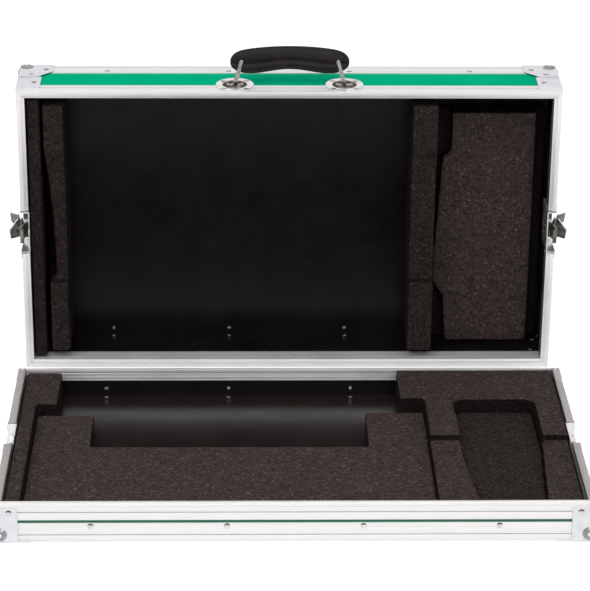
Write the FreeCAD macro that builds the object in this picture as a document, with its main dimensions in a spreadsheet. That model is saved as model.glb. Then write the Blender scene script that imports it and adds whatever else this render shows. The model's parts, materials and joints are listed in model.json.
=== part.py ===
import FreeCAD, Part
import os
import Sketcher

# Guitar pedal case in millimetres: a shallow base and a deeper lift-off lid.
# The origin is on the table, below the middle of the open case. +X is right, +Y is back.
# Both shells are drawn in a frame of their own: Z runs from the seam to the closed face.

doc = FreeCAD.newDocument("PedalCase")

# Driving dimensions
driving = {
    # outer shell
    "case_length": "700",
    "case_depth": "392",
    "base_height": "42.7",
    "lid_height": "98",
    "lid_behind": "106.6",
    "ply": "7",
    "skin": "1.5",
    # rim extrusions
    "rim_web": "2",
    "tongue_width": "3",
    "tongue_height": "3",
    "tongue_gap": "1",
    "rebate_gap": "0.4",
    "base_rim_flange": "16.7",
    "base_inner_flange": "13.4",
    "lid_rim_flange": "24",
    "lid_inner_flange": "27",
    "rim_notch_gap": "1.7",
    # grooves drawn along the bars, up from the seam or in from the closed face
    "groove_width": "1",
    "groove_depth": "0.5",
    "base_outer_groove": "6.1",
    "base_inner_groove": "2.2",
    "base_lower_groove": "9.8",
    "lid_outer_groove": "14.2",
    "lid_inner_groove": "9",
    "lid_lower_groove": "18",
    "angle_groove": "6.5",
    # edge angles
    "base_angle_leg": "22.2",
    "lid_angle_leg": "27",
    "panel_leg": "29",
    "corner_leg": "27",
    "corner_leg_gap": "0.2",
    # corner pieces
    "sheet": "1.2",
    "ball_radius": "12.5",
    "ball_inset": "7.9",
    "ball_flat": "0.3",
    "ball_reach": "43",
    "ball_throat": "25",
    "base_corner_width": "29",
    "base_corner_start": "0.5",
    "brace_width": "29.5",
    "brace_start": "9",
    "brace_gap": "2",
    # rivets
    "rivet_radius": "2",
    "rivet_hole_gap": "0.05",
    "rivet_head_radius": "3.7",
    "rivet_head_height": "0.9",
    "rivet_tail_radius": "3",
    "rivet_tail_height": "0.6",
    "rivet_wall_row": "18",
    "rivet_panel_row": "16",
    "rivet_inner": "79",
    "rivet_outer": "237",
    "rivet_side": "98",
    "ball_rivet_far": "33",
    "ball_rivet_near": "15",
    "brace_rivet_in": "20.6",
    "brace_rivet_down": "18",
    "base_rivet_in": "19",
    "base_rivet_up": "7",
    # latch dishes
    "dish_width": "57",
    "dish_height": "49.8",
    "dish_depth": "9.8",
    "dish_flange": "8",
    "dish_top_flange": "4.5",
    "dish_gap": "0.2",
    "dish_rivet_low": "15",
    "dish_rivet_high": "38",
    "keeper_height": "17",
    "keeper_width": "24",
    "keeper_start": "6",
    "keeper_thick": "3",
    "keeper_deep": "3.3",
    "keeper_rivet_up": "7",
    # latch hook
    "hook_pin_rise": "13",
    "hook_pin_radius": "1.5",
    "hook_pin_in": "5.25",
    "hook_pin_end": "0.4",
    "hook_eye": "2.8",
    "hook_width": "20",
    "hook_thick": "1.5",
    "hook_claw": "3.3",
    "hook_claw_thick": "3",
    "hook_reach": "25.5",
    "hook_open_angle": "12",
    "ear_thick": "2",
    "ear_radius": "3.4",
    "ear_gap": "0.3",
    "turn_gap": "0.06",
    # latch spindle and wings
    "spindle_rise": "24.6",
    "spindle_radius": "5.6",
    "spindle_out": "3",
    "spindle_gap": "0.3",
    "stub_radius": "2.5",
    "stub_end": "0.3",
    "wing_pin_radius": "1.25",
    "wing_pin_out": "1",
    "wing_pin_length": "38",
    "wing_length": "45",
    "wing_reach": "20.5",
    "wing_shoulder": "4.6",
    "wing_tip_length": "22",
    "wing_root": "3",
    "wing_thick": "1.5",
    "wing_turn": "36",
    "wing_angle": "48",
    "wing_notch_gap": "0.6",
    "knuckle_radius": "2.4",
    "knuckle_length": "5",
    "knuckle_start": "6.8",
    "knuckle_gap": "0.3",
    # carrying handle
    "handle_dish_radius": "24.5",
    "handle_bowl_radius": "17",
    "handle_bowl_depth": "5",
    "handle_centre": "25",
    "handle_hole_gap": "0.3",
    "handle_rivet_ring": "20.75",
    "crossbar_radius": "1.5",
    "crossbar_out": "0.5",
    "post_in": "8",
    "post_thick": "2.5",
    "post_width": "6",
    "loop_band": "5",
    "loop_thick": "1.8",
    "loop_rise": "33",
    "grip_half_length": "77",
    "grip_foot": "15.5",
    "grip_foot_in": "27",
    "grip_under": "22.5",
    "grip_under_in": "51",
    "grip_shoulder": "47.9",
    "grip_crown": "53.2",
    "grip_end_middle": "31",
    "grip_end_low": "19",
    "grip_end_low_in": "10",
    "grip_half_thick": "7.8",
    "grip_edge_half": "3",
    "grip_swell": "11",
    "grip_slope": "4.5",
    "grip_slope_half": "6.2",
    "loop_top_in": "15",
    "loop_foot_in": "6.4",
    "slot_gap": "0.5",
    # base foam
    "foam_floor_gap": "0.9",
    "foam_wall_gap": "3.3",
    "foam_cut_gap": "0.6",
    "foam_left_top": "46",
    "foam_bed_top": "30",
    "foam_block_top": "49",
    "foam_step_top": "40.5",
    "foam_pedal_top": "31",
    "strip_width": "18.6",
    "left_block_width": "44.6",
    "pedal_round": "9",
    # base foam, in from the left end of the foam
    "unit_left": "90.2",
    # base foam, in from the right end
    "unit_right": "244.2",
    "jack_right": "200.2",
    "bed_right": "170.2",
    "pedal_left": "134.2",
    "pedal_waist_left": "131.2",
    "pedal_front_left": "121.2",
    "pedal_front_right": "42.2",
    "pedal_right": "32.2",
    # base foam, in from the front
    "unit_front": "183.2",
    "foam_step_front": "174.2",
    "pedal_waist": "122.2",
    "pedal_front": "16.2",
    # base foam, in from the rear
    "left_block_front": "94.2",
    "jack_front": "87.2",
    "pedal_rear": "90.2",
    # lid foam
    "lid_strip_width": "16.5",
    "lid_strip_top": "6",
    "lid_strip_inset": "9.2",
    "lid_strip_dip": "10",
    "lid_outer_inset": "2.2",
    "lid_seam_width": "2.2",
    "lid_seam_depth": "24",
    "pad_top": "56",
    "pad_base_top": "72",
    # lid foam, in from the left end of the foam
    "lid_inner_left": "20.2",
    "lid_inner_bend": "29.4",
    "lid_inner_waist": "31.6",
    "lid_inner_foot": "23.2",
    "lid_inner_right": "47.2",
    # lid foam, in from the right end
    "lid_middle_left": "178.7",
    "lid_middle_right": "146.2",
    "pad_left": "124.2",
    "pad_step": "135.2",
    "pad_waist": "143.2",
    "pad_foot": "129.2",
    "pad_right": "13.2",
    # lid foam, in from the front
    "lid_seam": "69",
    "lid_dip_start": "108.2",
    "lid_bend_at": "172.2",
    "pad_front": "37.2",
    "pad_step_from": "89.2",
    "pad_step_to": "100.2",
    # lid foam, in from the rear
    "lid_inner_step": "109.4",
    "lid_waist_at": "118.2",
    "pad_waist_from": "124.2",
    "pad_waist_to": "90.2",
    "pad_foot_from": "67.2",
    "pad_rear": "0.4",
    # how far cutting tools reach past what they cut
    "overrun": "2",
}

sizes = doc.addObject("Spreadsheet::Sheet", "Sizes")
for line, (alias, number) in enumerate(driving.items(), start=1):
    sizes.set(f"A{line}", alias)
    sizes.set(f"B{line}", number)
    sizes.setAlias(f"B{line}", alias)
doc.recompute()

# Derived sizes, each bound to the driving ones
layout = doc.addObject("App::VarSet", "Layout")


def named(text):
    """Turn the short names of sizes in an expression into references to the two tables."""
    words = []
    word = ""
    for letter in text + " ":
        if letter.isalnum() or letter == "_":
            word += letter
            continue
        if word in driving:
            word = "Sizes." + word
        elif word in layout.PropertiesList:
            word = "Layout." + word
        words.append(word)
        words.append(letter)
        word = ""
    return "".join(words).strip()


def derive(name, expression, kind="App::PropertyFloat"):
    layout.addProperty(kind, name)
    layout.setExpression(name, named(expression))
    doc.recompute()


def value(expression):
    return float(sizes.evalExpression(named(expression)))


derive("half_x", "case_length / 2")
derive("half_y", "case_depth / 2")
derive("rim_width", "ply + 2 * skin")
derive("shell_wall", "ply + skin")
derive("ply_x", "half_x - skin")
derive("ply_y", "half_y - skin")
derive("inner_x", "ply_x - ply")
derive("inner_y", "ply_y - ply")
derive("rebate", "tongue_height + rebate_gap")
derive("lid_web", "rebate + rim_web")
derive("hole", "rivet_radius + rivet_hole_gap")
derive("dish_half", "dish_width / 2")
derive("dish_rivet_in", "dish_half + dish_flange / 2")
derive("handle_rivet_in", "handle_rivet_ring * cos(45)")
derive("brace_end", "lid_height - ball_reach - brace_gap")
derive("brace_rivet_up", "brace_end - brace_rivet_down")
derive("handle_top", "grip_half_length - loop_top_in")
derive("handle_foot", "grip_half_length - loop_foot_in")
derive("grip_foot_at", "grip_half_length - grip_foot_in")
derive("grip_under_at", "grip_half_length - grip_under_in")
derive("grip_end_low_at", "grip_half_length - grip_end_low_in")
derive("ball_proud", "ball_radius - ball_inset - ball_flat")
derive("flat_radius", "sqrt(2 * ball_radius * ball_flat - ball_flat * ball_flat)")
derive("seam_rise", "base_height + ball_proud")
derive("foam_floor", "ball_proud + shell_wall + foam_floor_gap")
derive("foam_ceiling", "lid_height - shell_wall - foam_floor_gap")
derive("foam_x", "inner_x - foam_wall_gap")
derive("foam_y", "inner_y - foam_wall_gap")
# The open lid stands on its rear ball corners and brace rivets, so it leans forward a little.
derive("foot_far", "lid_height - ball_inset - flat_radius")
derive("foot_near", "brace_rivet_up - rivet_head_radius")
derive("foot_proud", "sheet + rivet_head_height")
derive("lean", "atan((ball_proud - foot_proud) / (foot_far - foot_near)) / 1 deg")
derive("lid_up", "(half_y + foot_proud) * cos(lean) - foot_near * sin(lean)")
derive("lid_apart", "half_y + lid_behind - half_y * sin(lean)")
derive("lid_reach", "(lid_height + ball_proud) * cos(lean) + (half_y - ball_inset + flat_radius) * sin(lean)")
derive("base_back", "(half_y + ball_proud - lid_apart - lid_reach) / 2")
derive("lid_back", "base_back + lid_apart")

frames = {
    "base_frame": "placement(vector(0; base_back; 0); rotation(vector(1; 0; 0); 0))",
    "base_shell": "placement(vector(0; base_back; seam_rise); rotation(vector(1; 0; 0); 180))",
    "lid_shell": "placement(vector(0; lid_back; lid_up); rotation(vector(1; 0; 0); lean - 90))",
}
for name, expression in frames.items():
    derive(name, expression, "App::PropertyPlacement")

# Turns about Z that carry a piece drawn for the wall at -Y to each wall of a shell
quarter = 90
wall_turns = {
    "base": {"rear": 0, "right": quarter, "front": 2 * quarter, "left": -quarter},
    "lid": {"front": 0, "right": quarter, "rear": 2 * quarter, "left": -quarter},
}
sides = ("front", "rear", "left", "right")
shells = ("base", "lid")
nodes = []


def position(x="0", y="0", z="0", axis="1; 0; 0", angle="0"):
    return f"placement(vector({x}; {y}; {z}); rotation(vector({axis}); {angle}))"


def step(*where, **words):
    """A further move, to follow another placement."""
    return " * " + position(*where, **words)


def turn(shell, side):
    return f"{shell}_shell" + step(axis="0; 0; 1", angle=str(wall_turns[shell][side]))


def place(item, expression):
    item.setExpression("Placement", named(expression))
    return item


def keep(item, label, frame):
    """Give a finished sub-part its name and its place in the case."""
    item.Label = label
    nodes.append(item)
    return place(item, frame)


def part(kind, name, **bound):
    item = doc.addObject(kind, name)
    for prop, expression in bound.items():
        item.setExpression(prop, named(expression))
    return item


def at(item, x, y, z, axis="1; 0; 0", angle="0"):
    return place(item, position(x, y, z, axis, angle))


def box(name, x, y, z):
    """A block between pairs of expressions, low then high, along each axis."""
    item = part("Part::Box", name, Length=f"{x[1]} - ({x[0]})", Width=f"{y[1]} - ({y[0]})",
                Height=f"{z[1]} - ({z[0]})")
    return at(item, x[0], y[0], z[0])


def rod(name, along, radius, length, x, y, z):
    """A cylinder from the point (x, y, z) along +X, +Y or +Z."""
    item = part("Part::Cylinder", name, Radius=radius, Height=length)
    axis, angle = {"x": ("0; 1; 0", "90"), "y": ("1; 0; 0", "-90"), "z": ("1; 0; 0", "0")}[along]
    return at(item, x, y, z, axis, angle)


def fuse(name, pieces):
    item = doc.addObject("Part::MultiFuse", name)
    item.Shapes = pieces
    return item


def cut(name, base, tools):
    item = doc.addObject("Part::Cut", name)
    item.Base = base
    item.Tool = tools[0] if len(tools) == 1 else fuse(name + "_tools", tools)
    return item


def mirror(name, source, normal):
    item = doc.addObject("Part::Mirroring", name)
    item.Source = source
    item.Normal = FreeCAD.Vector(*normal)
    return item


def pair(name, source):
    """The piece and its mirror image across the middle of the case."""
    return fuse(name, [source, mirror(name + "_other", source, (1, 0, 0))])


def four(name, source):
    """One corner's piece repeated at all four corners of a shell."""
    front = pair(name + "_front", source)
    return fuse(name, [front, mirror(name + "_back", front, (0, 1, 0))])


def sketch_in(body, name, role, offset, loops, circles=()):
    """A sketch on one of the body's origin planes, every point and radius bound."""
    sketch = body.newObject("Sketcher::SketchObject", name)
    plane = [item for item in body.Origin.OriginFeatures if item.Role == role][0]
    sketch.AttachmentSupport = [(plane, "")]
    sketch.MapMode = "FlatFace"
    sketch.setExpression("AttachmentOffset.Base.z", named(offset))

    def fix(kind, index, point, expression):
        number = value(expression)
        row = sketch.addConstraint(Sketcher.Constraint(kind, -1, 1, index, point, number))
        if number:
            sketch.setExpression(f"Constraints[{row}]", named(expression))

    for loop in loops:
        first = sketch.GeometryCount
        points = [FreeCAD.Vector(value(x), value(y), 0) for x, y in loop]
        for start, end in zip(points, points[1:] + points[:1]):
            sketch.addGeometry(Part.LineSegment(start, end), False)
        for index in range(len(loop)):
            after = first + (index + 1) % len(loop)
            sketch.addConstraint(Sketcher.Constraint("Coincident", first + index, 2, after, 1))
        for index, (x, y) in enumerate(loop, start=first):
            fix("DistanceX", index, 1, x)
            fix("DistanceY", index, 1, y)
    for x, y, radius in circles:
        centre = FreeCAD.Vector(value(x), value(y), 0)
        circle = Part.Circle(centre, FreeCAD.Vector(0, 0, 1), value(radius))
        index = sketch.addGeometry(circle, False)
        fix("DistanceX", index, 3, x)
        fix("DistanceY", index, 3, y)
        row = sketch.addConstraint(Sketcher.Constraint("Radius", index, value(radius)))
        sketch.setExpression(f"Constraints[{row}]", named(radius))
    return sketch


def pad(body, sketch, length, middle=False):
    item = body.newObject("PartDesign::Pad", sketch.Name + "_pad")
    item.Profile = sketch
    item.setExpression("Length", named(length))
    item.Midplane = middle
    return item


def pocket(body, sketch, length, middle=False):
    """Cut against the sketch's normal, or both ways from its plane."""
    item = body.newObject("PartDesign::Pocket", sketch.Name + "_pocket")
    item.Profile = sketch
    item.setExpression("Length", named(length))
    item.Midplane = middle
    return item


def rectangle(x, y):
    return [(x[0], y[0]), (x[1], y[0]), (x[1], y[1]), (x[0], y[1])]


def both(expression):
    return [expression, f"-({expression})"]


def slab(name, role, loop, low, length, middle=False, circles=()):
    """A body padded from one outline."""
    body = doc.addObject("PartDesign::Body", name)
    pad(body, sketch_in(body, name + "_outline", role, low, [loop], circles), length, middle)
    return body


# Rivet rows. Each wall is drawn at -Y, with its rivets as (along, up, how proud the head sits).


def reach_of(side):
    """Half the length of a wall, and the distance to its outer face."""
    return ("half_x", "half_y") if side in ("front", "rear") else ("half_y", "half_x")


def row_of(side):
    return ("rivet_inner", "rivet_outer") if side in ("front", "rear") else ("rivet_side",)


def wall_rivets(shell, side):
    half = reach_of(side)[0]
    spots = [(row, f"{shell}_height - rivet_wall_row", "0") for row in row_of(side)]
    if shell == "base":
        spots.append((f"{half} - base_rivet_in", "base_rivet_up", "sheet"))
    else:
        spots.append((f"{half} - brace_rivet_in", "brace_rivet_up", "sheet"))
        spots.append((f"{half} - ball_rivet_far", "lid_height - ball_rivet_near", "sheet"))
        spots.append((f"{half} - ball_rivet_near", "lid_height - ball_rivet_far", "sheet"))
    if side in ("left", "right"):
        rises = ("keeper_rivet_up",) if shell == "base" else ("dish_rivet_low", "dish_rivet_high")
        spots += [("dish_rivet_in", rise, "sheet") for rise in rises]
    if (shell, side) == ("lid", "front"):
        spots += [(f"handle_foot + {across}", f"handle_centre + {up}", "sheet")
                  for across in both("handle_rivet_in") for up in both("handle_rivet_in")]
    return [(along, up, proud) for x, up, proud in spots for along in both(x)]


def panel_rivets(side):
    """Rivets of the closed panel along one wall, as (along, in from the wall, proud)."""
    half = reach_of(side)[0]
    spots = [(row, "rivet_panel_row", "0") for row in row_of(side)]
    spots.append((f"{half} - ball_rivet_far", "ball_rivet_near", "sheet"))
    return [(along, inward, proud) for x, inward, proud in spots for along in both(x)]


def spot_turned(side, along, inward):
    """The place of a closed panel's rivet in the shell's own frame."""
    outward = f"-({reach_of(side)[1]} - {inward})"
    turned = {"front": (along, outward), "right": (f"-({outward})", along),
              "rear": (f"-({along})", f"-({outward})"), "left": (outward, f"-({along})")}
    return turned[side]


# Plywood panels


def closed_panel(shell, label):
    holes = [spot_turned(side, along, inward) + ("hole",)
             for side in sides for along, inward, proud in panel_rivets(side)]
    outline = rectangle(("-ply_x", "ply_x"), ("-ply_y", "ply_y"))
    body = slab(label, "XY_Plane", outline, f"{shell}_height - shell_wall", "ply", circles=holes)
    keep(body, label, f"{shell}_shell")


def wall(shell, side):
    """One wall. The side walls fit between the long ones and are notched for the latch."""
    label = f"{shell}_{side}_panel"
    long_wall = side in ("front", "rear")
    half = "ply_x" if long_wall else "inner_y"
    inner = "inner_y" if long_wall else "inner_x"
    edge = "rim_web" if shell == "base" else "lid_web"
    top = f"{shell}_height - shell_wall"
    outline = [(f"-{half}", edge), (half, edge), (half, top), (f"-{half}", top)]
    if not long_wall:
        notch = "dish_half + dish_gap"
        deep = "keeper_height + dish_gap" if shell == "base" else "dish_height + dish_gap"
        outline[1:1] = [(f"-({notch})", edge), (f"-({notch})", deep), (notch, deep), (notch, edge)]
    holes = [(along, up, "hole") for along, up, proud in wall_rivets(shell, side)]
    body = slab(label, "XZ_Plane", outline, inner, "ply", circles=holes)
    if (shell, side) == ("lid", "front"):
        pocket(body, handle_holes(body, label), "overrun + handle_bowl_depth + sheet + handle_hole_gap")
    keep(body, label, turn(shell, side))


def handle_holes(body, label):
    circles = [(x, "handle_centre", "handle_bowl_radius + handle_hole_gap") for x in both("handle_foot")]
    return sketch_in(body, label + "_bowls", "XZ_Plane", "half_y + overrun", [], circles)


# Mitred bars: rim extrusions and edge angles


def bar(shell, side, label, profile, width, cuts, wall_holes, panel_holes):
    """A bar whose section is given as (in from the outer face, up from the seam)."""
    half, reach = reach_of(side)
    body = doc.addObject("PartDesign::Body", label)
    body.AllowCompound = True
    section = [(f"{inward} - {reach}", up) for inward, up in profile]
    pad(body, sketch_in(body, label + "_section", "YZ_Plane", "0", [section]), f"2 * {half}", True)
    depth = f"2 * ({shell}_height + overrun)"
    mitres = []
    for sign in ("", "-"):
        outer = f"{sign}({half} + overrun)"
        mitres.append([(f"{sign}{half}", f"-{reach}"), (f"{sign}({half} - {width})", f"{width} - {reach}"),
                       (outer, f"{width} - {reach}"), (outer, f"-{reach}")])
    sketch = sketch_in(body, label + "_mitres", "XY_Plane", "0", mitres)
    pocket(body, sketch, depth, True)
    if panel_holes:
        circles = [(along, f"{inward} - {reach}", "hole") for along, inward, proud in panel_holes]
        sketch = sketch_in(body, label + "_panel_holes", "XY_Plane", "0", [], circles)
        pocket(body, sketch, depth, True)
    circles = [(along, up, "hole") for along, up, proud in wall_holes]
    if cuts or circles:
        sketch = sketch_in(body, label + "_wall_holes", "XZ_Plane", "0", cuts, circles)
        pocket(body, sketch, f"2 * ({reach} + overrun)", True)
    if label == "lid_front_rim":
        pocket(body, handle_holes(body, label), "2 * overrun + skin")
    keep(body, label, turn(shell, side))


def groove(face, floor, start):
    """Corners of a groove in a bar's section, from its far edge back to its near edge."""
    end = f"{start} + groove_width"
    return [(face, end), (floor, end), (floor, start), (face, start)]


def rim(shell, side):
    """The base's rim has a tongue on its inner side; the lid's has a rebate that drops over it."""
    flange = f"{shell}_rim_flange"
    base = shell == "base"
    lip = "rim_width - tongue_width" if base else "rim_width - tongue_width - tongue_gap"
    shelf = "-tongue_height" if base else "rebate"
    web = "rim_web" if base else "lid_web"
    inner = f"{shell}_inner_flange"
    inside = []
    for name in ("inner", "lower"):
        inside += reversed(groove("rim_width", "rim_width - groove_depth", f"{shell}_{name}_groove"))
    section = [("0", "0"), (lip, "0"), (lip, shelf), ("rim_width", shelf)] + inside
    section += [("rim_width", inner), ("rim_width - skin", inner), ("rim_width - skin", web),
                ("skin", web), ("skin", flange), ("0", flange)]
    section += groove("0", "groove_depth", f"{shell}_outer_groove")
    cuts = []
    if side in ("left", "right"):
        notch = "dish_half + rim_notch_gap"
        span = ("-tongue_height - overrun", f"{shell}_height")
        cuts.append(rectangle((f"-({notch})", notch), span))
    holes = [spot for spot in wall_rivets(shell, side) if value(spot[1]) < value(inner)]
    bar(shell, side, f"{shell}_{side}_rim", section, "rim_width", cuts, holes, [])


def edge_angle(shell, side):
    leg = f"{shell}_angle_leg"
    height = f"{shell}_height"
    section = [("0", height), ("panel_leg", height), ("panel_leg", f"{height} - skin"),
               ("skin", f"{height} - skin"), ("skin", f"{height} - {leg}"), ("0", f"{height} - {leg}")]
    near = groove("0", "groove_depth", f"{height} - angle_groove - groove_width")
    section += reversed(near)
    holes = [spot for spot in wall_rivets(shell, side) if value(spot[1]) > value(f"{height} - {leg}")]
    bar(shell, side, f"{shell}_{side}_angle", section, "panel_leg", [], holes, panel_rivets(side))


for shell in shells:
    closed_panel(shell, "base_bottom_panel" if shell == "base" else "lid_top_panel")
    for side in sides:
        wall(shell, side)
        rim(shell, side)
        edge_angle(shell, side)

# Corner pieces, drawn for one corner: that corner of the case is the origin, and
# the case fills the side where x and z are below zero and y is above it. Each is then
# moved to the corner at +X, -Y of a shell and mirrored to the other three.


def corner_pieces(shell, label, piece):
    """Four pieces at the corners of a shell; the drawn z runs in from its closed face."""
    place(piece, position("half_x", "-half_y", f"{shell}_height"))
    keep(four(label + "_four", piece), label, f"{shell}_shell")


def corner_sheets(name, rows):
    """Bent sheets on the faces of the corner, each as a role, an outline and its rivets."""
    return [slab(f"{name}_{role[:2]}", role, outline, low, "sheet", circles=circles)
            for role, outline, low, circles in rows]


def pentagon(first, second):
    """A flange on two faces' edges, as signed outline words for the two directions."""
    spans = [("-sheet", "-sheet"), ("ball_reach", "-sheet"), ("ball_reach", "ball_throat"),
             ("ball_throat", "ball_reach"), ("-sheet", "ball_reach")]
    return [(f"{first}({a})", f"{second}({b})") for a, b in spans]


def ball_corner(shell):
    """A pressed ball with flanges; the base's wall flanges run up to the seam."""
    name = f"{shell}_ball"
    near, far = "ball_rivet_near", "ball_rivet_far"
    panel_holes = [(f"-{far}", near, "hole"), (f"-{near}", far, "hole")]
    if shell == "base":
        depth = "base_height - base_corner_start"
        front = rectangle(("-base_corner_width", "sheet"), (f"-({depth})", "sheet"))
        side = rectangle(("-sheet", "base_corner_width"), (f"-({depth})", "sheet"))
        rise = "base_rivet_up - base_height"
        front_holes = [("-base_rivet_in", rise, "hole")]
        side_holes = [("base_rivet_in", rise, "hole")]
    else:
        front = pentagon("-", "-")
        side = pentagon("", "-")
        front_holes = [(f"-{far}", f"-{near}", "hole"), (f"-{near}", f"-{far}", "hole")]
        side_holes = [(far, f"-{near}", "hole"), (near, f"-{far}", "hole")]
    sheets = corner_sheets(name, [
        ("XY_Plane", pentagon("-", ""), "0", panel_holes),
        ("XZ_Plane", front, "0", front_holes),
        ("YZ_Plane", side, "0", side_holes),
    ])
    ball = part("Part::Sphere", name + "_outer", Radius="ball_radius")
    hollow = part("Part::Sphere", name + "_inner", Radius="ball_radius - sheet")
    for sphere in (ball, hollow):
        at(sphere, "-ball_inset", "ball_inset", "-ball_inset")
    span = "2 * ball_reach"
    flats = box(name + "_flats", (f"-({span})", "ball_proud"), ("-ball_proud", span), (f"-({span})", "ball_proud"))
    trimmed = doc.addObject("Part::MultiCommon", name + "_trimmed")
    trimmed.Shapes = [fuse(name + "_pressed", sheets + [ball]), flats]
    case = box(name + "_case", (f"-({span})", "0"), ("0", span), (f"-({span})", "0"))
    corner_pieces(shell, f"{shell}_ball_corners", cut(name, trimmed, [case, hollow]))


for shell in shells:
    ball_corner(shell)

start, end = "brace_start - lid_height", "brace_end - lid_height"
rise = "brace_rivet_up - lid_height"
braces = fuse("brace_bent", corner_sheets("brace", [
    ("XZ_Plane", rectangle(("-brace_width", "sheet"), (start, end)), "0", [("-brace_rivet_in", rise, "hole")]),
    ("YZ_Plane", rectangle(("-sheet", "brace_width"), (start, end)), "0", [("brace_rivet_in", rise, "hole")]),
]))
corner_pieces("lid", "lid_rim_braces", braces)

start, end = "lid_rim_flange + corner_leg_gap - lid_height", "-(lid_angle_leg + corner_leg_gap)"
rows = [("brace_rivet_in", "brace_rivet_up - lid_height"), ("ball_rivet_near", "-ball_rivet_far")]
rows = [row for row in rows if value(start) < value(row[1]) < value(end)]
legs = []
for role, sign in (("XZ_Plane", "-"), ("YZ_Plane", "")):
    outline = rectangle(("0", f"{sign}corner_leg"), (start, end))
    circles = [(f"{sign}{along}", up, "hole") for along, up in rows]
    legs.append(slab("corner_angle_" + role[:2], role, outline, "-skin", "skin", circles=circles))
corner_pieces("lid", "lid_corner_angles", fuse("corner_angle_bent", legs))


# Rivets: one group of separate solids for each shell


def rivet(proud, grip):
    """A rivet whose axis runs along +Z into the case, with the outer face at zero."""
    down = -value(proud)
    head_height = value("rivet_head_height")
    head = Part.makeCylinder(value("rivet_head_radius"), head_height, FreeCAD.Vector(0, 0, down - head_height))
    shank = Part.makeCylinder(value("rivet_radius"), value(grip) - down, FreeCAD.Vector(0, 0, down))
    tail = Part.makeCylinder(value("rivet_tail_radius"), value("rivet_tail_height"),
                             FreeCAD.Vector(0, 0, value(grip)))
    return head.fuse([shank, tail])


def rivet_group(shell):
    solids = []
    x_axis, z_axis = FreeCAD.Vector(1, 0, 0), FreeCAD.Vector(0, 0, 1)
    for side in sides:
        reach = value(reach_of(side)[1])
        turned = FreeCAD.Rotation(z_axis, wall_turns[shell][side])
        for along, up, proud in wall_rivets(shell, side):
            inner = value(up) < value(f"{shell}_inner_flange")
            solid = rivet(proud, "rim_width" if inner else "shell_wall")
            solid.Placement = FreeCAD.Placement(
                turned.multVec(FreeCAD.Vector(value(along), -reach, value(up))),
                turned.multiply(FreeCAD.Rotation(x_axis, -quarter)))
            solids.append(solid)
        for along, inward, proud in panel_rivets(side):
            solid = rivet(proud, "shell_wall")
            solid.Placement = FreeCAD.Placement(
                turned.multVec(FreeCAD.Vector(value(along), value(inward) - reach, value(f"{shell}_height"))),
                FreeCAD.Rotation(x_axis, 2 * quarter))
            solids.append(solid)
    item = doc.addObject("Part::Feature", f"{shell}_rivets")
    item.Shape = Part.makeCompound(solids)
    item.Placement = getattr(layout, f"{shell}_shell")
    item.Label = f"{shell}_rivets"
    nodes.append(item)


for shell in shells:
    rivet_group(shell)

# Latch dishes and everything in them, drawn for a wall at -Y with the outer face at zero:
# -Y is outward and Z runs from the seam into the shell.


def latch_frame(shell, side):
    return turn(shell, side) + step(y="-half_x")


def dish(shell, side):
    """A split dish let into the side wall, open at the seam."""
    label = f"{'keeper' if shell == 'base' else 'latch'}_dish_{side}"
    height = "keeper_height" if shell == "base" else "dish_height"
    name = label + "_"
    flange_half = "(dish_half + dish_flange)"
    flange = box(name + "flange", (f"-{flange_half}", flange_half), ("-sheet", "0"),
                 ("0", f"{height} + dish_top_flange"))
    pan = box(name + "pan", ("-dish_half", "dish_half"), ("-sheet", "dish_depth + sheet"), ("0", height))
    inside = box(name + "inside", ("-(dish_half - sheet)", "dish_half - sheet"),
                 ("-(sheet + overrun)", "dish_depth"), ("-overrun", f"{height} - sheet"))
    rises = ("keeper_rivet_up",) if shell == "base" else ("dish_rivet_low", "dish_rivet_high")
    tools = [inside]
    for index, rise in enumerate(rises):
        for end, x in enumerate(both("dish_rivet_in")):
            tools.append(rod(f"{name}hole_{index}{end}", "y", "hole", "sheet + 2 * overrun",
                             x, "-(sheet + overrun)", rise))
    if shell == "base":
        shaped = cut(name + "cut", fuse(name + "blank", [flange, pan]), tools)
        lip = box(name + "lip", ("-keeper_width / 2", "keeper_width / 2"),
                  ("dish_depth - keeper_deep", "dish_depth + sheet / 2"),
                  ("keeper_start", "keeper_start + keeper_thick"))
        finished = fuse(name + "body", [shaped, lip])
    else:
        tools.append(rod(name + "bearing", "y", "stub_radius + turn_gap", "sheet + 2 * overrun",
                         "0", "dish_depth - overrun", "spindle_rise"))
        shaped = cut(name + "cut", fuse(name + "blank", [flange, pan]), tools)
        ears = []
        for end, sign in enumerate(("", "-")):
            inner = "hook_width / 2 + ear_gap"
            low = inner if sign == "" else f"-({inner} + ear_thick)"
            eye = rod(f"{name}eye_{end}", "x", "ear_radius", "ear_thick", low, "hook_pin_in", "hook_pin_rise")
            stem = box(f"{name}stem_{end}", (low, f"{low} + ear_thick"),
                       ("hook_pin_in", "dish_depth + sheet / 2"),
                       ("hook_pin_rise - ear_radius", "hook_pin_rise + ear_radius"))
            ears += [eye, stem]
        bore = rod(name + "bore", "x", "hook_pin_radius + turn_gap / 2", "2 * hook_width",
                   "-hook_width", "hook_pin_in", "hook_pin_rise")
        finished = cut(name + "body", fuse(name + "eared", [shaped] + ears), [bore])
    keep(finished, label, latch_frame(shell, side))


def hook_pin(side):
    length = "(hook_width + 2 * ear_gap + 2 * ear_thick + 2 * hook_pin_end)"
    pin = part("Part::Cylinder", f"hook_pin_{side}_bar", Radius="hook_pin_radius", Height=length)
    keep(pin, f"hook_pin_{side}", latch_frame("lid", side)
         + step(f"-{length} / 2", "hook_pin_in", "hook_pin_rise", "0; 1; 0", "90"))


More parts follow.
